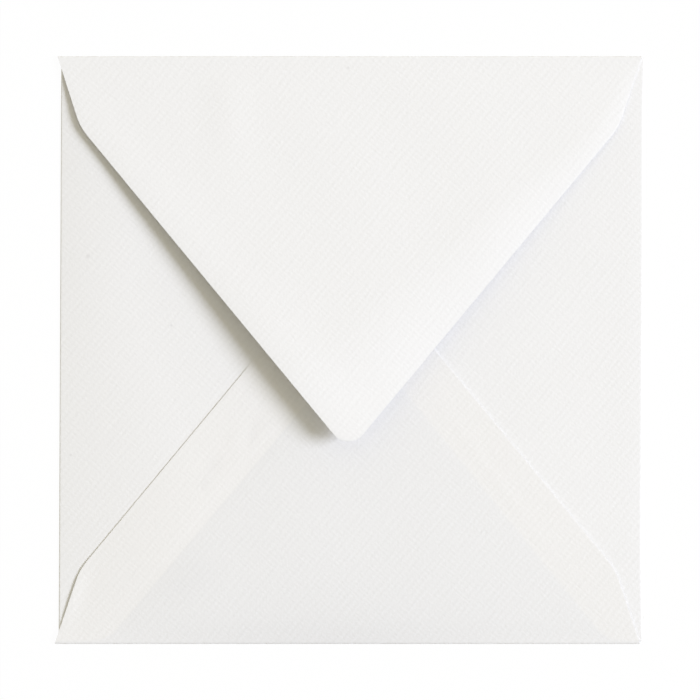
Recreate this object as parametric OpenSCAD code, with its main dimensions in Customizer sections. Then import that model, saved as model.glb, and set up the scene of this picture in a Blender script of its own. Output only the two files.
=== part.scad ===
// Square paper envelope with a pointed flap, folded from one die-cut sheet.
// It lies on its front: X runs to the right, Y towards the top fold and Z up, and the
// origin is the middle of the front panel's outer face.

/* [Pocket] */
// Width between the outer edges of the two side folds
pocket_w = 155; // [130:0.5:200]
// Height between the outer edges of the bottom and top folds
pocket_h = 156; // [130:0.1:200]
// Rise of the empty pocket's back above its folded edges
pocket_rise = 0.8; // [0:0.1:1]
// Distance from a fold over which the back rises
rise_l = 22; // [20:1:40]

/* [Paper] */
// Thickness of the paper
paper_t = 0.16; // [0.1:0.01:0.3]
// Radius inside the side folds
fold_r = 0.2; // [0.1:0.01:0.5]
// Space that the glue leaves between two layers
glue_gap = 0.05; // [0.05:0.01:0.15]
// Paper cut away at each end of a side fold, where the flaps part
notch = 0.3; // [0.1:0.1:1.5]

/* [Top and bottom flaps] */
// Depth of the top flap from the folded edge to its tip, seen from above
top_flap_d = 101.9; // [85:0.1:110]
// Depth of the bottom flap from the folded edge to its tip
bottom_flap_d = 103.2; // [85:0.1:110]
// Distance from the folded edge to the corner between shoulder and long edge
shoulder_d = 19.4; // [14:0.1:26]
// How far the shoulder edge comes in by that corner
shoulder_in = 6.3; // [3:0.1:10]
// Radius of the corner between shoulder and long edge
shoulder_r = 17; // [2:1:24]
// Radius of the tip
tip_r = 5; // [2:0.5:12]
// How far these two flaps sit to the left of the side folds
flap_offset = 0.65; // [0:0.05:1.5]

/* [Spring of the top flap] */
// Angle at which the closed but unsealed flap leaves its fold
flap_tilt = 6; // [4:0.5:25]
// Angle that is left at its tip, because the paper bows down
tip_tilt = 2; // [0:0.5:4]
// Drop of the left long edge, where the paper curls towards the pocket
left_curl = 0.12; // [0:0.01:0.4]
// Drop of the right long edge
right_curl = 0.4; // [0:0.01:0.6]
// Width of the curled strip along a long edge
curl_l = 9; // [4:0.5:15]

/* [Side flaps] */
// Distance of the left flap's tip from the middle of the pocket
left_tip_x = 2.8; // [0.5:0.1:12]
// Distance of the right flap's tip from the middle of the pocket
right_tip_x = 8.7; // [0.5:0.1:12]
// Distance from the folded edge to the left flap's corners
left_shoulder_d = 13; // [10:0.5:18]
// Distance from the folded edge to the right flap's corners
right_shoulder_d = 9.8; // [9:0.1:18]
// How far the short edges of the side flaps come in by those corners
side_shoulder_in = 0.3; // [0.1:0.1:2]
// Radius of the side flaps' corners
side_corner_r = 8; // [2:1:14]
// Radius of the side flaps' tips
side_tip_r = 12; // [4:1:20]

/* [Smoothness] */
// Strips across a flap
across = 22; // [18:2:26]
// Largest distance between two rows along a long edge
row_pitch = 8; // [6:1:10]
// Angle between two rows round a corner or a tip
row_angle = 11; // [9:1:20]

/* [Hidden] */
paper_colour = [0.95, 0.95, 0.93];
$fn = 48;

// The bottom and top folds are wider than the side folds, because the side flaps' ends lie inside them.
wide_fold_r = fold_r + (paper_t + glue_gap) / 2;
fold_outer_r = fold_r + paper_t;
wide_outer_r = wide_fold_r + paper_t;
// The flat part of the front panel ends where the folds begin.
flat_x = pocket_w / 2 - fold_outer_r;
flat_y = pocket_h / 2 - wide_outer_r;
side_half = flat_y - notch;
// Undersides of the side flaps and of the flap glued onto them, at the folds
side_z = paper_t + 2 * fold_r;
wide_z = paper_t + 2 * wide_fold_r;
// Below the top flap the back starts to rise at no more than this share of the flap's own slope.
slope_share = 0.8;
top_rise_l = max(rise_l, 2 * pocket_rise / (slope_share * tan(flap_tilt)));
// Distance from the fold at which the long edges have their full curl
full_curl_l = 40;
// How much closer together the strips are at a flap's edges than in its middle
crowding = 0.3;

// Share of the full height that a sprung sheet reaches at a share q of the rise's length
function rise(q) = q <= 0 ? 0 : q >= 1 ? 1 : 1 - pow(1 - q, 2);
// Height of the pocket's back above its edges
function lift(x, y) = pocket_rise * rise((flat_x - abs(x)) / rise_l)
    * rise((flat_y + y) / rise_l) * rise((flat_y - y) / top_rise_l);
// Share of its curl that the top flap has at a distance s from the fold and at a distance from its long edge
function curl(from_edge, s) = pow(max(0, 1 - from_edge / curl_l), 2) * pow(min(1, s / full_curl_l), 2);

// One half of a flap's outline, from the fold to the tip, as pairs of a distance from the fold and a half width.
// The shoulder and the long edge are straight, and arcs join them and round the tip.
function outline(half, shoulder, inset, corner_r, depth, end_r) =
    let (
        corner = [shoulder, half - inset],
        short_a = atan2(shoulder, inset),
        reach = [depth - end_r - shoulder, corner[1]],
        long_a = atan2(reach[0], reach[1]) + asin(end_r / norm(reach)),
        tangent_l = corner_r * tan((short_a - long_a) / 2),
        short_end = corner - tangent_l * [sin(short_a), -cos(short_a)],
        long_start = corner + tangent_l * [sin(long_a), -cos(long_a)],
        long_end = [depth - end_r, 0] + end_r * [cos(long_a), sin(long_a)],
        corner_c = short_end - corner_r * [cos(short_a), sin(short_a)]
    ) concat(
        steps([0, half], short_end),
        turn(corner_c, corner_r, short_a, long_a),
        steps(long_start, long_end),
        turn([depth - end_r, 0], end_r, long_a, row_angle / 2)
    );
// Points along a straight edge, without its last one
function steps(from, to) =
    let (n = max(1, ceil(norm(to - from) / row_pitch)))
    [for (i = [0 : n - 1]) from + (to - from) * i / n];
// Points round an arc between two angles
function turn(centre, r, from_a, to_a) =
    let (n = max(1, ceil((from_a - to_a) / row_angle)))
    [for (i = [0 : n]) let (a = from_a + (to_a - from_a) * i / n) centre + r * [cos(a), sin(a)]];

// Places across a flap, from -1 to 1, closer together towards both edges
places = [for (i = [0 : across]) let (f = 2 * i / across - 1) f * (1 + crowding - crowding * f * f)];

// A flap as a curved sheet, with its fold along X and its tip towards Y. The function height gives its underside.
module sheet(rows, height) {
    w = across + 1;
    last = len(rows) - 1;
    under = [for (row = rows) for (c = places) [c * row[1], row[0], height(c * row[1], row[0], row[1])]];
    over = [for (p = under) p + [0, 0, paper_t]];
    top = len(under);
    cells = [for (r = [0 : last - 1]) for (c = [0 : across - 1]) r * w + c];
    polyhedron(concat(under, over), concat(
        [for (k = cells) each [[k, k + 1, k + w + 1], [k, k + w + 1, k + w]]],
        [for (k = cells) each [[top + k, top + k + w + 1, top + k + 1], [top + k, top + k + w, top + k + w + 1]]],
        [for (r = [0 : last - 1]) let (k = r * w) each wall(k + w, k, top)],
        [for (r = [0 : last - 1]) let (k = r * w + across) each wall(k, k + w, top)],
        [for (c = [0 : across - 1]) each wall(c, c + 1, top)],
        [for (c = [0 : across - 1]) let (k = last * w + c) each wall(k + 1, k, top)]
    ));
}
// Two triangles of the cut edge between points a and b and the points above them
function wall(a, b, top) = [[a, top + a, top + b], [a, top + b, b]];

// A fold along X that leads the paper round from Z 0 to above itself, on the side of Y above 0
module fold(length, r) {
    translate([-length / 2, 0, r + paper_t])
        rotate([90, 0, 90])
            rotate([0, 0, -90])
                rotate_extrude(angle = 180)
                    translate([r, 0]) square([paper_t, length]);
}

module front_panel() {
    translate([-flat_x, -flat_y, 0]) cube([2 * flat_x, 2 * flat_y, paper_t]);
}

// Side flap folded over from the left for side -1, or from the right for side 1
module side_flap(side, tip_x, shoulder) {
    rows = outline(side_half, shoulder - fold_outer_r, side_shoulder_in, side_corner_r,
        flat_x - tip_x, side_tip_r);
    rotate([0, 0, side * 90]) {
        translate([0, -flat_x, 0]) {
            sheet(rows, function(u, s, half) side_z + lift(flat_x - s, side * u));
            mirror([0, 1, 0]) fold(2 * side_half, fold_r);
        }
    }
}

// Outline that the top and bottom flaps share, for a depth from the folded edge
function long_flap(depth) = outline(pocket_w / 2, shoulder_d - wide_outer_r, shoulder_in, shoulder_r,
    depth - wide_outer_r, tip_r);

module bottom_flap() {
    rows = long_flap(bottom_flap_d);
    translate([-flap_offset, -flat_y, 0]) {
        sheet(rows, function(u, s, half) wide_z + lift(u - flap_offset, s - flat_y));
        mirror([0, 1, 0]) fold(pocket_w, wide_fold_r);
    }
}

module top_flap() {
    rows = long_flap(top_flap_d);
    bow = (tan(flap_tilt) - tan(tip_tilt)) / 2 / (top_flap_d - wide_outer_r);
    translate([-flap_offset, flat_y, 0]) {
        mirror([0, 1, 0])
            sheet(rows, function(u, s, half) wide_z + tan(flap_tilt) * s - bow * s * s
                - left_curl * curl(half + u, s) - right_curl * curl(half - u, s));
        fold(pocket_w, wide_fold_r);
    }
}

module envelope() {
    color(paper_colour) union() {
        front_panel();
        side_flap(-1, left_tip_x, left_shoulder_d);
        side_flap(1, right_tip_x, right_shoulder_d);
        bottom_flap();
        top_flap();
    }
}

envelope();
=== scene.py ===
import math

import bpy
import numpy as np
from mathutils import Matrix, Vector


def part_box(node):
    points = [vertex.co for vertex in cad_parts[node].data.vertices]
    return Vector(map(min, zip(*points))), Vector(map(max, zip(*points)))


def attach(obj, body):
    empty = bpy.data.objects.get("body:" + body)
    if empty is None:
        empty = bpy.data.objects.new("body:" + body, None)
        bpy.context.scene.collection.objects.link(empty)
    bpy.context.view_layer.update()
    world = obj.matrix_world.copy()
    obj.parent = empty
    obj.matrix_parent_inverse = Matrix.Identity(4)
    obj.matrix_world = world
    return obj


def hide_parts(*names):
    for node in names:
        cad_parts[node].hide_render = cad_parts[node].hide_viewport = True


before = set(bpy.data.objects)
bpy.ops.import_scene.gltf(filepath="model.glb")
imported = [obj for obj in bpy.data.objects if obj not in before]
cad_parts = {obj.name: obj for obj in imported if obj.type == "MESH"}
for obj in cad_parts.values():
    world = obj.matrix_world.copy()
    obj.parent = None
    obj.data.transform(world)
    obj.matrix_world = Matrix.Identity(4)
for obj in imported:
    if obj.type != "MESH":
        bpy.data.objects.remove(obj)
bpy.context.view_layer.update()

mm = 0.001


# How the camera sees the envelope, straight from above
view = {
    "seenWidth": 185.9 * mm,   # width of the picture where the envelope lies
    "lens": 300,               # in millimetres, on a sensor 36 wide
    "sensor": 36,
    "aimX": -0.50 * mm,
    "aimY": 0.02 * mm,
    "farthest": 20,            # metres
}


def makeCamera():
    data = bpy.data.cameras.new("topCamera")
    data.lens = view["lens"]
    data.sensor_width = view["sensor"]
    data.clip_end = view["farthest"]
    camera = bpy.data.objects.new("topCamera", data)
    away = view["lens"] / view["sensor"] * view["seenWidth"]
    camera.location = (view["aimX"], view["aimY"], away)
    bpy.context.scene.collection.objects.link(camera)
    bpy.context.scene.camera = camera
    print("camera:", round(away, 3), "m above the envelope")


# The folded sheet. Its overall size comes from the frame.
low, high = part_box("envelope")
pocketHalfW = high.x
pocketHalfH = (high.y - low.y) / 2
foldShift = -low.x - high.x      # how far the long flaps sit to the left

paper = {
    "thickness": 0.16 * mm,
    "sideFoldR": 0.2 * mm,       # inside radius of the side folds
    "glueGap": 0.05 * mm,
    "notch": 0.3 * mm,           # cut away at each end of a side fold
    "leanLeft": 0.0045,          # the side folds aren't quite square to the top fold
    "leanRight": 0.0029,
    "burr": 0.3 * mm,            # width of the crushed strip along a cut edge
    "burrDrop": 0.013 * mm,
    "burrLeft": 0.1,             # share of the drop that the left edges have
    "settle": 10 * mm,           # length over which a flap takes up its fold's opening
}
wideFoldR = paper["sideFoldR"] + (paper["thickness"] + paper["glueGap"]) / 2
flatX = pocketHalfW - paper["sideFoldR"] - paper["thickness"]
flatY = pocketHalfH - wideFoldR - paper["thickness"]
sideHalf = flatY - paper["notch"]
sideZ = paper["thickness"] + 2 * paper["sideFoldR"]
wideZ = paper["thickness"] + 2 * wideFoldR

# The top and bottom flaps were cut alike, but the top one's shoulders are a little shorter
longFlap = {
    "topShoulder": 18.8 * mm,    # distance of the corner from the folded edge
    "bottomShoulder": 19.8 * mm,
    "topInset": 6.0 * mm,
    "bottomInset": 6.5 * mm,
    "cornerR": 17 * mm,
    "tipR": 5 * mm,
    "topDepth": 102.1 * mm,
    "bottomDepth": 103.0 * mm,
    "topShift": 0.20 * mm,       # added to foldShift
    "bottomShift": 0.28 * mm,
}

sideFlap = {
    "leftTip": 3.8 * mm,         # distance of the tip from the middle
    "rightTip": 8.7 * mm,
    "leftShoulder": 13 * mm,
    "rightShoulder": 9.8 * mm,
    "inset": 0.3 * mm,
    "cornerR": 8 * mm,
    "tipR": 12 * mm,
}

meshing = {
    "acrossLong": 110,           # strips across the top and bottom flaps
    "acrossSide": 76,
    "crowding": 0.25,            # how much closer they lie at a flap's edges
    "besideShare": 0.45,         # the crushed strip takes no more than this share of the last strip
    "topPitch": 1.7 * mm,        # distance between two rows
    "bottomPitch": 1.15 * mm,
    "sidePitch": 2.0 * mm,
    "firstRow": 0.35 * mm,
    "rowTurn": math.radians(5),  # angle between two rows round a corner
    "lastTurn": math.radians(1.5),
    "foldSteps": 8,              # steps round a fold
}


def straight(start, stop, pitch):
    count = max(1, math.ceil(np.linalg.norm(stop - start) / pitch))
    return [start + (stop - start) * i / count for i in range(count)]


def arc(centre, r, first, last):
    count = max(1, math.ceil((first - last) / meshing["rowTurn"]))
    turns = [first + (last - first) * i / count for i in range(count + 1)]
    return [centre + r * np.array([math.cos(a), math.sin(a)]) for a in turns]


def flapOutline(half, shoulder, inset, cornerR, depth, tipR, pitch):
    # rows from the fold to the tip, each a distance from the fold and a half width
    corner = np.array([shoulder, half - inset])
    shortTurn = math.atan2(shoulder, inset)
    reach = np.array([depth - tipR - shoulder, corner[1]])
    longTurn = math.atan2(reach[0], reach[1]) + math.asin(tipR / np.linalg.norm(reach))
    tangent = cornerR * math.tan((shortTurn - longTurn) / 2)
    shortEnd = corner - tangent * np.array([math.sin(shortTurn), -math.cos(shortTurn)])
    longStart = corner + tangent * np.array([math.sin(longTurn), -math.cos(longTurn)])
    tipCentre = np.array([depth - tipR, 0])
    longEnd = tipCentre + tipR * np.array([math.cos(longTurn), math.sin(longTurn)])
    cornerCentre = shortEnd - cornerR * np.array([math.cos(shortTurn), math.sin(shortTurn)])
    start = np.array([0, half])
    second = start + (shortEnd - start) * meshing["firstRow"] / shortEnd[0]
    rows = [start] + straight(second, shortEnd, pitch)
    rows += arc(cornerCentre, cornerR, shortTurn, longTurn)
    rows += straight(longStart, longEnd, pitch)[1:]
    rows += arc(tipCentre, tipR, longTurn, meshing["lastTurn"])
    beforeTip = np.array([rows[-1][0] - paper["burr"], rows[-2][1]])
    if beforeTip[0] > rows[-2][0]:
        rows.insert(-1, beforeTip)
    return np.array(rows)


def columnsAt(half, count, slant=1):
    # places across a row, with one more beside each cut edge
    f = np.linspace(-1, 1, count + 1)
    spread = f * (1 + meshing["crowding"] - meshing["crowding"] * f * f) * half
    beside = min(paper["burr"] * slant, meshing["besideShare"] * (half - spread[-2]))
    return np.concatenate([[-half, -half + beside], spread[1:-1], [half - beside, half]])


def distanceInside(x, y, outline):
    # how far points lie inside a flap whose fold is the line x = 0, and less than nothing outside it
    corners = np.concatenate([outline, outline[::-1] * [1, -1]])
    ends = np.roll(corners, -1, axis=0)[:-1]
    starts = corners[:-1]
    side = ends - starts
    p = np.stack([np.ravel(x), np.ravel(y)], axis=1)[:, None, :]
    share = np.clip(((p - starts) * side).sum(2) / (side ** 2).sum(1), 0, 1)
    gap = np.sqrt(((p - starts - share[:, :, None] * side) ** 2).sum(2)).min(1).reshape(np.shape(x))
    inside = np.abs(y) < np.interp(x, outline[:, 0], outline[:, 1], right=-1)
    return np.where(inside, gap, -gap)


def smooth(q):
    q = np.clip(q, 0, 1)
    return q * q * (3 - 2 * q)


def sideOutline(shoulder, tip):
    return flapOutline(sideHalf, shoulder - pocketHalfW + flatX, sideFlap["inset"], sideFlap["cornerR"],
                       flatX - tip, sideFlap["tipR"], meshing["sidePitch"])


def longOutline(shoulder, inset, depth, pitch):
    return flapOutline(pocketHalfW, shoulder - foldOuter, inset, longFlap["cornerR"],
                       depth - foldOuter, longFlap["tipR"], pitch)


# -1 is the left side or the bottom, and 1 the right side or the top
foldOuter = pocketHalfH - flatY
sideOutlines = {
    -1: sideOutline(sideFlap["leftShoulder"], sideFlap["leftTip"]),
    1: sideOutline(sideFlap["rightShoulder"], sideFlap["rightTip"]),
}
longOutlines = {
    -1: longOutline(longFlap["bottomShoulder"], longFlap["bottomInset"], longFlap["bottomDepth"],
                    meshing["bottomPitch"]),
    1: longOutline(longFlap["topShoulder"], longFlap["topInset"], longFlap["topDepth"],
                   meshing["topPitch"]),
}
shifts = {1: foldShift + longFlap["topShift"], -1: foldShift + longFlap["bottomShift"]}


# How the empty pocket's back rises from its folds
pocket = {
    "rise": 0.52 * mm,
    "lowRise": 0.38 * mm,        # how much higher it is in the lower half
    "lowFrom": 20 * mm,
    "lowReach": 60 * mm,
    "left": 18 * mm,             # how far from each fold it goes on rising
    "leftLow": 36 * mm,          # the same in the lower half
    "bottom": 31 * mm,
    "top": 22 * mm,
    "pressed": 0.16 * mm,        # the left fold is creased harder than its ends
    "stand": 0.18 * mm,          # the back stands highest beside the right fold, which has sprung open
    "standReach": 30 * mm,
    "roll": 0.05 * mm,           # rounding of the back into that fold
    "rollWidth": 4 * mm,
    "waveHeight": 0.03 * mm,
    "waveLength": 34 * mm,
}

# The bottom flap dips along the edges of the side flaps that are glued behind it
seam = {
    "leftDip": 0.045 * mm,
    "rightDip": 0.015 * mm,
    "place": 0.8 * mm,           # how far inside the side flap's edge the glue pulls it down most
    "width": 1.8 * mm,
    "swell": 0.18 * mm,          # beyond the left one's edge, where nothing holds it
    "swellReach": 20 * mm,
    "fade": 6 * mm,              # distance from the fold at which dips and swell are full
    "shoulderLift": 0.26 * mm,   # the bottom flap's left shoulder stands off the pocket
    "liftPlace": 13 * mm,
    "liftReach": 8 * mm,
    "liftWidth": 2.5 * mm,
}

# Tone of the bottom flap, all painted light and shade: lighter where glued to a side flap, as painted light
# showing through, darker where loose with nothing close behind it, as painted shade, and a painted grey
# shade along its fold
tone = {
    # painted light where a side flap is glued behind, and painted shade where the flap lies loose
    "glued": (1.0, 0.995, 0.985, 1),
    "loose": (0.973, 0.974, 0.976, 1),
    # painted grey shade along the bottom fold and at the spots below
    "paintedShade": (0.94, 0.94, 0.945, 1),
    "edgeSoft": 0.5 * mm,
    "shadeReach": 11 * mm,        # how far from the fold the grey reaches
    "shadePlace": -5 * mm,        # where along the fold it is strongest
    "shadeWidth": 42 * mm,
}

# Lumps and hollows that dried glue leaves in the bottom flap: x, y, turn in degrees, half length,
# half width and height, in millimetres
glueMarks = [
    (38, -33.6, -54, 21, 1.6, 0.03),
    (36.3, -29.6, -54, 3, 2.2, -0.03),
    (-30.7, -23.8, 54, 3, 2.2, 0.05),
    (-25.9, -20.1, 54, 3, 2.2, -0.04),
    (-36.5, -30.7, 54, 3, 2.2, -0.04),
]

# Darker spots of painted shade at glue blotches, in the same form, with a share of the painted grey as the
# last value
shadeSpots = [
    (-25.9, -22.3, 75, 3.2, 1.3, 0.5),
    (-36.6, -30.8, 54, 2.6, 1.9, 0.45),
    (-38.9, -35.4, 54, 2.0, 1.3, 0.5),
    (-43.0, -60.5, 40, 7.0, 4.5, 0.4),
]

# The top flap stands open by its spring, with its edges curled down
spring = {
    "foldTilt": math.radians(4.6),
    "tipTilt": math.radians(3.85),
    "leftDrop": 0.03 * mm,
    "leftWidth": 2.2 * mm,
    "ridgeHeight": 0.18 * mm,    # a long swell beside the left edge
    "ridgePlace": 4 * mm,
    "ridgeWidth": 9 * mm,
    "ridgeStart": 0.25,          # share of the flap's depth at which the swell is full
    "rightDrop": 1.9 * mm,       # at the tip, and less in proportion towards the fold
    "rightSpread": 0.42,         # width of the curl, as a share of the distance from the fold
    "tipEase": 0.5,              # share of the curl and of the swell that the tip lacks
    "tipFrom": 80 * mm,          # distance from the fold at which they begin to ease
    "waveHeight": 0.06 * mm,
    "waveLength": 46 * mm,
    "steady": 10 * mm,           # the fold holds the paper flat as far as this
}

# Swells of the top flap, in the same form as the glue marks
flapSwells = [
    (-33, 64, 90, 14, 6, 0.18),
    (46, 66, 90, 16, 22, 0.22),
]


def rise(q):
    return 1 - (1 - np.clip(q, 0, 1)) ** 2


# Waves of damp paper: a few swells that cross each other, each a bent line
damp = {
    "stretches": (1.0, 1.37, 0.71, 1.83),
    "turnStep": 2.4,             # radians from one swell to the next
    "phaseStep": 1.7,
    "bend": 0.8,
    "bendStretch": 1.9,
    "pocketSeed": 0.4,
    "flapSeed": 1.1,
}


def waves(x, y, length, seed):
    total = 0
    for i, stretch in enumerate(damp["stretches"]):
        turn = seed + damp["turnStep"] * i
        along = x * math.cos(turn) + y * math.sin(turn)
        acrossIt = y * math.cos(turn) - x * math.sin(turn)
        bent = damp["bend"] * np.sin(2 * math.pi * acrossIt / (length * damp["bendStretch"]) + i)
        phase = damp["phaseStep"] * i + seed
        total = total + np.sin(2 * math.pi * along / (length * stretch) + phase + bent)
    return total / 2


def swells(x, y, marks):
    total = 0
    for midX, midY, turn, halfLength, halfWidth, height in marks:
        dx, dy = x / mm - midX, y / mm - midY
        c, s = math.cos(math.radians(turn)), math.sin(math.radians(turn))
        total = total + height * mm * np.exp(-((dx * c + dy * s) / halfLength) ** 2
                                             - ((dy * c - dx * s) / halfWidth) ** 2)
    return total


def backRise(x, y):
    lower = smooth((pocket["lowFrom"] - y) / pocket["lowReach"])
    height = pocket["rise"] + pocket["lowRise"] * lower
    height = height + pocket["waveHeight"] * waves(x, y, pocket["waveLength"], damp["pocketSeed"])
    climb = rise((flatX + x) / (pocket["left"] + (pocket["leftLow"] - pocket["left"]) * lower))
    fromRight = flatX - x
    beside = (pocket["stand"] * np.exp(-fromRight / pocket["standReach"])
              - pocket["roll"] * (1 - rise(fromRight / pocket["rollWidth"])))
    ends = rise((flatY + y) / pocket["bottom"]) * rise((flatY - y) / pocket["top"])
    return ends * (climb * height - (1 - climb) * pocket["pressed"] + beside)


def foldOpening(side, y):
    # what a side fold's radius gains, which is half of the height that the back has beside it
    return backRise(side * flatX, y) / 2


def sideFlapBehind(x, y, side):
    # how far a place lies inside a side flap, and less than nothing outside it
    return distanceInside(flatX - side * x, y, sideOutlines[side])


def bottomUnderside(u, s, x, y):
    z = wideZ + backRise(x, y) + swells(x, y, glueMarks)
    fade = smooth(s / seam["fade"])
    for side, dip, swell in ((-1, seam["leftDip"], seam["swell"]), (1, seam["rightDip"], 0)):
        past = -sideFlapBehind(x, y, side)
        z = z - dip * fade * np.exp(-((past + seam["place"]) / seam["width"]) ** 2)
        z = z + swell * fade * rise(past / seam["swellReach"])
    fromEdge = np.interp(s, longOutlines[-1][:, 0], longOutlines[-1][:, 1]) + u
    return z + seam["shoulderLift"] * np.exp(-(fromEdge / seam["liftWidth"]) ** 2
                                             - ((s - seam["liftPlace"]) / seam["liftReach"]) ** 2)


def topUnderside(u, s, x, y):
    depth = longFlap["topDepth"] - foldOuter
    bow = (math.tan(spring["foldTilt"]) - math.tan(spring["tipTilt"])) / 2 / depth
    z = wideZ + math.tan(spring["foldTilt"]) * s - bow * s * s
    half = np.interp(s, longOutlines[1][:, 0], longOutlines[1][:, 1])
    free = smooth(s / spring["steady"])
    leftCurl = spring["leftDrop"] * np.clip(1 - (half + u) / spring["leftWidth"], 0, 1) ** 2
    fromRidge = half + u - spring["ridgePlace"]
    ridge = spring["ridgeHeight"] * np.exp(-(fromRidge / spring["ridgeWidth"]) ** 2)
    curlWidth = spring["rightSpread"] * np.maximum(s, spring["steady"])
    rightCurl = spring["rightDrop"] * s / depth * np.clip(1 - (half - u) / curlWidth, 0, 1) ** 2
    held = 1 - spring["tipEase"] * smooth((s - spring["tipFrom"]) / (depth - spring["tipFrom"]))
    ridge = ridge * held * smooth(s / (depth * spring["ridgeStart"]))
    z = z + free * (ridge - leftCurl) - rightCurl * held
    wavy = spring["waveHeight"] * waves(u, s, spring["waveLength"], damp["flapSeed"])
    return z + free * (wavy + swells(x, y, flapSwells))


# The mesh is one closed skin round the sheet. Each place on the sheet has a point on its outer and one on
# its inner face, and areas that meet share their points.
skin = {"outer": [], "inner": [], "blank": [], "cut": [], "glued": [], "quads": []}


def addPoints(middle, normal, blank, cut, glued=None):
    # cut is 0 on the sheet, 1 at the inner line of a crushed strip and 2 on a cut edge
    # glued: how far a side flap reaches behind the place, 1 if it is on the bottom flap, and how much
    # painted grey shade it has
    first = sum(len(part) for part in skin["blank"])
    drop = np.where(middle[..., 0] > 0, 1, paper["burrLeft"]) * paper["burrDrop"]
    thin = paper["thickness"] / 2 - np.where(cut == 2, drop, 0)
    skin["outer"].append((middle + normal * thin[..., None]).reshape(-1, 3))
    skin["inner"].append((middle - normal * paper["thickness"] / 2).reshape(-1, 3))
    skin["blank"].append(blank.reshape(-1, 3))
    skin["cut"].append(cut.ravel())
    skin["glued"].append(np.zeros((cut.size, 3)) if glued is None else glued.reshape(-1, 3))
    return first + np.arange(cut.size).reshape(cut.shape)


def addQuads(index):
    quads = np.stack([index[:-1, :-1], index[:-1, 1:], index[1:, 1:], index[1:, :-1]], axis=-1)
    skin["quads"].append(quads.reshape(-1, 4))


def cutMarks(rows, columns, tip=True):
    cut = np.zeros((rows, columns), int)
    cut[:, 1] = cut[:, -2] = 1
    if tip:
        cut[-2, 1:-1] = 1
        cut[-1, :] = 2
    cut[:, 0] = cut[:, -1] = 2
    return cut


def makePanel():
    # the front panel, from the left to the right fold and from the bottom to the top fold
    shares = columnsAt(pocketHalfW, meshing["acrossLong"]) / pocketHalfW
    ys = np.concatenate([[-flatY], columnsAt(sideHalf, meshing["acrossSide"]), [flatY]])
    leftEnd, rightEnd = (flatX - foldOpening(side, ys)[:, None] for side in (-1, 1))
    xs = shares * np.where(shares < 0, leftEnd, rightEnd)
    xs[0] = shares * pocketHalfW - shifts[-1]
    xs[-1] = shares * pocketHalfW - shifts[1]
    middle = np.stack([xs, np.tile(ys[:, None], (1, len(shares))),
                       np.full(xs.shape, paper["thickness"] / 2)], axis=-1)
    cut = np.zeros(xs.shape, int)
    cut[0, 0] = cut[0, -1] = cut[-1, 0] = cut[-1, -1] = 2
    index = addPoints(middle, np.array([0, 0, -1.0]), middle * [1, 1, 0], cut)
    addQuads(index)
    return index


def makeFlap(hinge, outline, foldR, opening, outward, along, edge, shift, underside, field=None):
    # hinge: the panel's points along the fold. opening: what the fold's radius gains where it has sprung
    # open. outward and along: directions on the panel. edge: how far the folded edge lies from the middle.
    out3, along3 = np.array([*outward, 0.0]), np.array([*along, 0.0])
    up = np.array([0, 0, 1.0])
    count = len(hinge) - 3
    across = columnsAt(outline[0, 1], count)
    places = (across - shift)[:, None]
    plain = edge - paper["thickness"] - foldR
    foldR = foldR + np.broadcast_to(opening, across.shape)[:, None]
    start = edge - paper["thickness"] - foldR
    foldLength = math.pi * (foldR + paper["thickness"] / 2)
    turns = np.linspace(0, math.pi, meshing["foldSteps"] + 1)[1:-1]
    radial = (np.sin(turns)[:, None] * out3 - np.cos(turns)[:, None] * up)[:, None, :]
    centre = out3 * start + up * (foldR + paper["thickness"])
    middle = centre + radial * (foldR + paper["thickness"] / 2) + places * along3
    normal = np.broadcast_to(radial, middle.shape)
    blank = out3 * (start + turns[:, None, None] / math.pi * foldLength) + places * along3
    glued = None
    if field:
        glued = field(np.broadcast_to(across, middle.shape[:2]), np.zeros(middle.shape[:2]),
                      middle[..., 0], middle[..., 1])
    foldIndex = addPoints(middle, normal, blank, cutMarks(len(turns), len(across), tip=False), glued)
    apart = 1e-9 * np.arange(len(outline))  # keeps the places of two rows from being equal
    slope = np.gradient(outline[:, 1], outline[:, 0] + apart)
    slant = np.sqrt(1 + slope ** 2)
    wide = np.array([columnsAt(half, count, k) for (s, half), k in zip(outline, slant)])
    s = np.broadcast_to(outline[:, :1], wide.shape)
    flat = out3 * (plain - s[..., None]) + (wide - shift)[..., None] * along3
    z = underside(wide, s, flat[..., 0], flat[..., 1]) + paper["thickness"] / 2
    flat = flat + out3 * ((start - plain) * (1 - smooth(s / paper["settle"]))[..., None])
    blank = out3 * (start + foldLength + s[..., None]) + (wide - shift)[..., None] * along3
    glued = field(wide, s, flat[..., 0], flat[..., 1]) if field else None
    flapIndex = addPoints(flat + z[..., None] * up, up, blank, cutMarks(*wide.shape), glued)
    index = np.concatenate([hinge[None, :], foldIndex, flapIndex])
    addQuads(index if np.cross(along3, out3)[2] > 0 else index[:, ::-1])
    return flapIndex


def gluedAndShadeField(u, s, x, y):
    behind = np.maximum(sideFlapBehind(x, y, -1), sideFlapBehind(x, y, 1))
    # painted shade, strongest along the middle of the bottom fold, plus the painted shade spots
    paintedShade = np.exp(-(s / tone["shadeReach"])) * np.exp(-((x - tone["shadePlace"]) / tone["shadeWidth"]) ** 2)
    return np.stack([behind, np.ones(x.shape), paintedShade + swells(x, y, shadeSpots) / mm], axis=-1)


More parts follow.
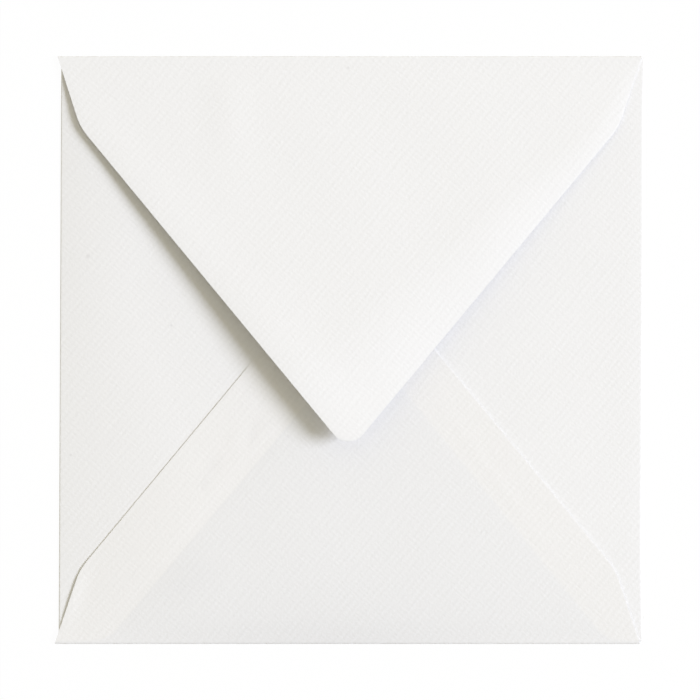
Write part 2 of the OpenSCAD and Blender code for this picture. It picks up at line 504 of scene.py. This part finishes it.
def makeSheet():
    panel = makePanel()
    for side in (-1, 1):
        hinge = panel[1:-1, 0 if side < 0 else -1]
        opening = foldOpening(side, columnsAt(sideHalf, meshing["acrossSide"]))
        makeFlap(hinge, sideOutlines[side], paper["sideFoldR"], opening, (side, 0), (0, 1), pocketHalfW, 0,
                 lambda u, s, x, y: sideZ + backRise(x, y))
    makeFlap(panel[0], longOutlines[-1], wideFoldR, 0, (0, -1), (1, 0), pocketHalfH, shifts[-1],
             bottomUnderside, gluedAndShadeField)
    makeFlap(panel[-1], longOutlines[1], wideFoldR, 0, (0, 1), (1, 0), pocketHalfH, shifts[1],
             topUnderside)
    outer, inner, blank, cut, glued, quads = (np.concatenate(part) for part in skin.values())
    count = len(outer)
    # a cut edge belongs to one quad only, and gets a wall between the two faces
    edges = np.concatenate([quads[:, [i, (i + 1) % 4]] for i in range(4)])
    key = np.sort(edges, axis=1)
    found = np.unique(key[:, 0] * count + key[:, 1], return_index=True, return_counts=True)
    rim = edges[found[1][found[2] == 1]]
    walls = np.stack([rim[:, 1], rim[:, 0], rim[:, 0] + count, rim[:, 1] + count], axis=1)
    faces = np.concatenate([quads, quads[:, ::-1] + count, walls])
    points = np.concatenate([outer, inner])
    # the side folds lean to the right as they go up
    k = (points[:, 0] + pocketHalfW) / (2 * pocketHalfW)
    points[:, 0] += (paper["leanLeft"] * (1 - k) + paper["leanRight"] * k) * points[:, 1]
    mesh = bpy.data.meshes.new("foldedSheet")
    mesh.from_pydata(points.tolist(), [], faces.tolist())
    mesh.shade_smooth()
    place = mesh.attributes.new("blankPlace", "FLOAT_VECTOR", "POINT")
    place.data.foreach_set("vector", np.concatenate([blank, blank]).ravel())
    backing = mesh.attributes.new("glued", "FLOAT_VECTOR", "POINT")
    backing.data.foreach_set("vector", np.concatenate([glued, glued]).ravel())
    markSharp(mesh, np.concatenate([cut, np.where(cut == 2, 3, 0)]))
    sheet = bpy.data.objects.new("foldedSheet", mesh)
    bpy.context.scene.collection.objects.link(sheet)
    print("sheet:", len(points), "points,", 2 * len(faces), "triangles")
    return sheet


def markSharp(mesh, kind):
    # sharp along the cut edges and along the inner line of the crushed strip
    ends = np.zeros(len(mesh.edges) * 2, int)
    mesh.edges.foreach_get("vertices", ends)
    a, b = kind[ends[::2]], kind[ends[1::2]]
    sharp = mesh.attributes.new("sharp_edge", "BOOLEAN", "EDGE")
    sharp.data.foreach_set("value", (a == b) & (a > 0))


# Finish of the paper, with the painted shade of its relief
finish = {
    "colour": (0.864, 0.860, 0.861, 1),
    "roughness": 0.86,
    "specular": 0.3,
    "ribPitch": 1.633 * mm,
    "ribTurn": math.radians(50),
    "ribHeight": 0.011 * mm,
    "ribEven": 0.8,              # 1 for unbroken lines and 0 for short loose strokes
    "threadPitch": 1.2 * mm,     # fainter lines across the ribs
    "threadTurn": math.radians(-40),
    "threadHeight": 0.0085 * mm,
    "threadEven": 0.4,
    "grainPitch": 0.65 * mm,     # fine unevenness with no direction
    "grainHeight": 0.030 * mm,
    "grainDetail": 1,
    # painted shade of the relief: the paper is painted lighter on its crests and darker in its hollows
    "reliefShade": 1.5 / mm,      # how much lighter the paper is for its relief
    "fibreDark": 0.11,
}

# How ribs wander and fade. A noise has a scale along and across the ribs, in their pitches, and its detail.
ribForm = {
    "drift": (0.12, 0.45, 2),
    "fading": (0.35, 0.9, 1),
    "fadingDepth": 2.5,
    "fadingMiddle": 0.6,
    "strokes": (0.3, 1.7, 1),
    "strokeDepth": 3.0,
}

# Dark fibres in the paper: where they are seen from above and how wide they look, in millimetres
fibres = [
    ("left", -70.3, 24.9, 0.9),
    ("left", -48.1, 6.5, 0.65),
    ("left", -74.7, -27.9, 0.65),
    ("top", -1.3, 74.9, 0.65),
]


def unfolded(flap, x, y):
    # the place on the flat sheet of a place seen on the folded left or top flap
    foldR, half = (paper["sideFoldR"], flatX) if flap == "left" else (wideFoldR, flatY)
    reach = 2 * half + math.pi * (foldR + paper["thickness"] / 2)
    return (-reach - x, y, 0) if flap == "left" else (x, reach - y, 0)


def socket(tree, name, way, kind, value=None):
    made = tree.interface.new_socket(name=name, in_out=way, socket_type=kind)
    if value is not None:
        made.default_value = value


def mathNode(tree, operation, a, b=None):
    node = tree.nodes.new("ShaderNodeMath")
    node.operation = operation
    for slot, value in enumerate((a, b)):
        if value is None:
            continue
        if isinstance(value, (int, float)):
            node.inputs[slot].default_value = value
        else:
            tree.links.new(value, node.inputs[slot])
    return node.outputs[0]


def makeRibs():
    # one family of fine ribs pressed into the sheet, as heights from about -1 to 1
    tree = bpy.data.node_groups.new("pressedRibs", "ShaderNodeTree")
    socket(tree, "Place", "INPUT", "NodeSocketVector")
    socket(tree, "Turn", "INPUT", "NodeSocketFloat", 0.0)
    socket(tree, "Pitch", "INPUT", "NodeSocketFloat", finish["ribPitch"])
    socket(tree, "Even", "INPUT", "NodeSocketFloat", finish["ribEven"])
    socket(tree, "Height", "OUTPUT", "NodeSocketFloat")
    given = tree.nodes.new("NodeGroupInput")
    result = tree.nodes.new("NodeGroupOutput")
    turned = tree.nodes.new("ShaderNodeVectorRotate")
    turned.rotation_type = "Z_AXIS"
    tree.links.new(given.outputs["Place"], turned.inputs["Vector"])
    tree.links.new(given.outputs["Turn"], turned.inputs["Angle"])
    parts = tree.nodes.new("ShaderNodeSeparateXYZ")
    tree.links.new(turned.outputs[0], parts.inputs[0])
    along = mathNode(tree, "DIVIDE", parts.outputs["X"], given.outputs["Pitch"])
    over = mathNode(tree, "DIVIDE", parts.outputs["Y"], given.outputs["Pitch"])

    def noise(alongScale, overScale, detail):
        stretched = tree.nodes.new("ShaderNodeCombineXYZ")
        tree.links.new(mathNode(tree, "MULTIPLY", along, alongScale), stretched.inputs[0])
        tree.links.new(mathNode(tree, "MULTIPLY", over, overScale), stretched.inputs[1])
        texture = tree.nodes.new("ShaderNodeTexNoise")
        texture.inputs["Scale"].default_value = 1
        texture.inputs["Detail"].default_value = detail
        tree.links.new(stretched.outputs[0], texture.inputs["Vector"])
        return mathNode(tree, "SUBTRACT", texture.outputs["Fac"], 0.5)

    # lines that drift slowly, fading in and out along their length
    moved = mathNode(tree, "ADD", over, noise(*ribForm["drift"]))
    wave = mathNode(tree, "SINE", mathNode(tree, "MULTIPLY", moved, 2 * math.pi))
    fading = mathNode(tree, "MULTIPLY", noise(*ribForm["fading"]), ribForm["fadingDepth"])
    fading = mathNode(tree, "ADD", fading, ribForm["fadingMiddle"])
    lines = mathNode(tree, "MULTIPLY", mathNode(tree, "MULTIPLY", wave, fading), given.outputs["Even"])
    # loose strokes, much longer than wide
    strokes = mathNode(tree, "MULTIPLY", noise(*ribForm["strokes"]), ribForm["strokeDepth"])
    loose = mathNode(tree, "SUBTRACT", 1.0, given.outputs["Even"])
    total = mathNode(tree, "ADD", lines, mathNode(tree, "MULTIPLY", strokes, loose))
    tree.links.new(total, result.inputs["Height"])
    return tree


def mixColour(tree, share, first, second, way="MIX"):
    node = tree.nodes.new("ShaderNodeMix")
    node.data_type = "RGBA"
    node.blend_type = way
    for name, value in (("Factor_Float", share), ("A_Color", first), ("B_Color", second)):
        slot = next(i for i in node.inputs if i.identifier == name)
        if isinstance(value, (tuple, float)):
            slot.default_value = value
        else:
            tree.links.new(value, slot)
    return next(o for o in node.outputs if o.identifier == "Result_Color")


def fibreMask(tree, place):
    # 1 at the middle of each fibre, fading to 0 over its width
    total = None
    for flap, x, y, width in fibres:
        gap = tree.nodes.new("ShaderNodeVectorMath")
        gap.operation = "DISTANCE"
        gap.inputs[1].default_value = unfolded(flap, x * mm, y * mm)
        tree.links.new(place, gap.inputs[0])
        fade = tree.nodes.new("ShaderNodeMapRange")
        fade.interpolation_type = "SMOOTHSTEP"
        fade.inputs["From Max"].default_value = width * mm
        fade.inputs["To Min"].default_value = 1
        fade.inputs["To Max"].default_value = 0
        tree.links.new(gap.outputs["Value"], fade.inputs["Value"])
        mask = fade.outputs["Result"]
        total = mathNode(tree, "ADD", total, mask) if total else mask
    return total


def paperToneAndShade(tree, relief, place):
    # the sheet's colour with painted light and shade: a little darker where the bottom flap is loose,
    # lighter where it is glued, grey along its fold and at spots, lighter on the relief's crests and darker
    # in its hollows; and darker at the fibres
    field = tree.nodes.new("ShaderNodeAttribute")
    field.attribute_name = "glued"
    parts = tree.nodes.new("ShaderNodeSeparateXYZ")
    tree.links.new(field.outputs["Vector"], parts.inputs[0])
    edge = tree.nodes.new("ShaderNodeMapRange")
    edge.interpolation_type = "SMOOTHSTEP"
    edge.inputs["From Min"].default_value = -tone["edgeSoft"]
    edge.inputs["From Max"].default_value = tone["edgeSoft"]
    tree.links.new(parts.outputs["X"], edge.inputs["Value"])
    # painted light where a side flap is glued behind, painted shade where the flap lies loose
    backed = mixColour(tree, edge.outputs["Result"], tone["loose"], tone["glued"])
    onFlap = mixColour(tree, parts.outputs["Y"], (1.0, 1.0, 1.0, 1.0), backed)
    # painted grey shade along the bottom fold and at the spots
    paintedGrey = mixColour(tree, parts.outputs["Z"], (1.0, 1.0, 1.0, 1.0), tone["paintedShade"])
    shaded = mixColour(tree, 1.0, onFlap, paintedGrey, "MULTIPLY")
    coloured = mixColour(tree, 1.0, finish["colour"], shaded, "MULTIPLY")
    # painted shade of the relief: lighter on its crests and darker in its hollows
    reliefShading = mathNode(tree, "MULTIPLY", relief, finish["reliefShade"])
    darker = mathNode(tree, "MULTIPLY", fibreMask(tree, place), finish["fibreDark"])
    spotted = mathNode(tree, "SUBTRACT", mathNode(tree, "ADD", reliefShading, 1.0), darker)
    return mixColour(tree, 1.0, coloured, spotted, "MULTIPLY")


def paperGrain(tree, place):
    texture = tree.nodes.new("ShaderNodeTexNoise")
    texture.inputs["Scale"].default_value = 1 / finish["grainPitch"]
    texture.inputs["Detail"].default_value = finish["grainDetail"]
    tree.links.new(place, texture.inputs["Vector"])
    centred = mathNode(tree, "SUBTRACT", texture.outputs["Fac"], 0.5)
    return mathNode(tree, "MULTIPLY", centred, finish["grainHeight"])


def makePaper():
    material = bpy.data.materials.new("laidPaper")
    material.use_nodes = True
    tree = material.node_tree
    shader = tree.nodes["Principled BSDF"]
    shader.inputs["Roughness"].default_value = finish["roughness"]
    shader.inputs["Specular IOR Level"].default_value = finish["specular"]
    place = tree.nodes.new("ShaderNodeAttribute")
    place.attribute_name = "blankPlace"
    ribs = makeRibs()
    relief = paperGrain(tree, place.outputs["Vector"])
    for turn, pitch, even, height in (
            (finish["ribTurn"], finish["ribPitch"], finish["ribEven"], finish["ribHeight"]),
            (finish["threadTurn"], finish["threadPitch"], finish["threadEven"], finish["threadHeight"])):
        node = tree.nodes.new("ShaderNodeGroup")
        node.node_tree = ribs
        node.inputs["Turn"].default_value = turn
        node.inputs["Pitch"].default_value = pitch
        node.inputs["Even"].default_value = even
        tree.links.new(place.outputs["Vector"], node.inputs["Place"])
        relief = mathNode(tree, "ADD", relief, mathNode(tree, "MULTIPLY", node.outputs["Height"], height))
    bump = tree.nodes.new("ShaderNodeBump")
    bump.inputs["Distance"].default_value = 1
    tree.links.new(paperToneAndShade(tree, relief, place.outputs["Vector"]), shader.inputs["Base Color"])
    tree.links.new(relief, bump.inputs["Height"])
    tree.links.new(bump.outputs["Normal"], shader.inputs["Normal"])
    print("paper: ribs, threads and", len(fibres), "fibres")
    return material


# Studio: a large soft lamp far off to the right, and pale surroundings that are brightest towards the top
studio = {
    "keyPower": 259.5,
    "keySize": 2.2,
    "keyDistance": 5.0,
    "keyHeight": math.radians(35),  # angle above the table
    "keyColour": (0.822, 0.862, 1.0),
    "domeColour": (1.0, 0.949, 0.775, 1),
    "domeStrength": 0.55,
    "domeLean": (0.0, 0.40, 0),  # how much brighter the surroundings are towards each axis
}


def makeKeyLamp():
    data = bpy.data.lights.new("keyLight", "AREA")
    data.shape = "DISK"
    data.size = studio["keySize"]
    data.energy = studio["keyPower"]
    data.color = studio["keyColour"]
    lamp = bpy.data.objects.new("keyLight", data)
    towards = Vector((math.cos(studio["keyHeight"]), 0, math.sin(studio["keyHeight"])))
    lamp.location = towards * studio["keyDistance"]
    lamp.rotation_euler = towards.to_track_quat("Z", "Y").to_euler()
    bpy.context.scene.collection.objects.link(lamp)


def seenDirectly(tree):
    # 1 for what the camera sees itself or in a gloss or a glass, and 0 for the light on the object
    path = tree.nodes.new("ShaderNodeLightPath")
    both = mathNode(tree, "MAXIMUM", path.outputs["Is Camera Ray"], path.outputs["Is Glossy Ray"])
    return mathNode(tree, "MAXIMUM", both, path.outputs["Is Transmission Ray"])


def makeSurroundings():
    world = bpy.data.worlds.new("studioWorld")
    bpy.context.scene.world = world
    world.use_nodes = True
    tree = world.node_tree
    dome = tree.nodes["Background"]
    dome.inputs["Color"].default_value = studio["domeColour"]
    towards = tree.nodes.new("ShaderNodeTexCoord")
    lean = tree.nodes.new("ShaderNodeVectorMath")
    lean.operation = "DOT_PRODUCT"
    lean.inputs[1].default_value = studio["domeLean"]
    tree.links.new(towards.outputs["Generated"], lean.inputs[0])
    graded = mathNode(tree, "ADD", lean.outputs["Value"], 1.0)
    tree.links.new(mathNode(tree, "MULTIPLY", graded, studio["domeStrength"]), dome.inputs["Strength"])
    white = tree.nodes.new("ShaderNodeBackground")
    mix = tree.nodes.new("ShaderNodeMixShader")
    tree.links.new(seenDirectly(tree), mix.inputs["Fac"])
    tree.links.new(dome.outputs[0], mix.inputs[1])
    tree.links.new(white.outputs[0], mix.inputs[2])
    white.inputs["Color"].default_value = (1, 1, 1, 1)
    tree.links.new(mix.outputs[0], tree.nodes["World Output"].inputs["Surface"])


table = {
    "size": 3.0,
    "depth": 0.05 * mm,          # how far it lies below the envelope
    "colour": (0.92, 0.92, 0.91, 1),
    "roughness": 0.9,
    "specular": 0.1,
    "white": 0.97,               # share of plain white that the camera sees, and the rest shows the shadow
}


def makeFloor():
    half = table["size"] / 2
    mesh = bpy.data.meshes.new("paleFloor")
    z = low.z - table["depth"]
    corners = [(-half, -half, z), (half, -half, z), (half, half, z), (-half, half, z)]
    mesh.from_pydata(corners, [], [(0, 1, 2, 3)])
    floor = bpy.data.objects.new("paleFloor", mesh)
    bpy.context.scene.collection.objects.link(floor)
    material = bpy.data.materials.new("paleFloor")
    material.use_nodes = True
    tree = material.node_tree
    shader = tree.nodes["Principled BSDF"]
    shader.inputs["Base Color"].default_value = table["colour"]
    shader.inputs["Roughness"].default_value = table["roughness"]
    shader.inputs["Specular IOR Level"].default_value = table["specular"]
    white = tree.nodes.new("ShaderNodeEmission")
    mix = tree.nodes.new("ShaderNodeMixShader")
    share = mathNode(tree, "MULTIPLY", seenDirectly(tree), table["white"])
    tree.links.new(share, mix.inputs["Fac"])
    tree.links.new(shader.outputs[0], mix.inputs[1])
    tree.links.new(white.outputs[0], mix.inputs[2])
    tree.links.new(mix.outputs[0], tree.nodes["Material Output"].inputs["Surface"])
    floor.data.materials.append(material)


makeCamera()
sheet = makeSheet()
sheet.data.materials.append(makePaper())
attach(sheet, "root")
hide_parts("envelope")
makeKeyLamp()
makeSurroundings()
makeFloor()
bpy.context.scene.view_settings.view_transform = "Standard"
print("studio and floor are in place")
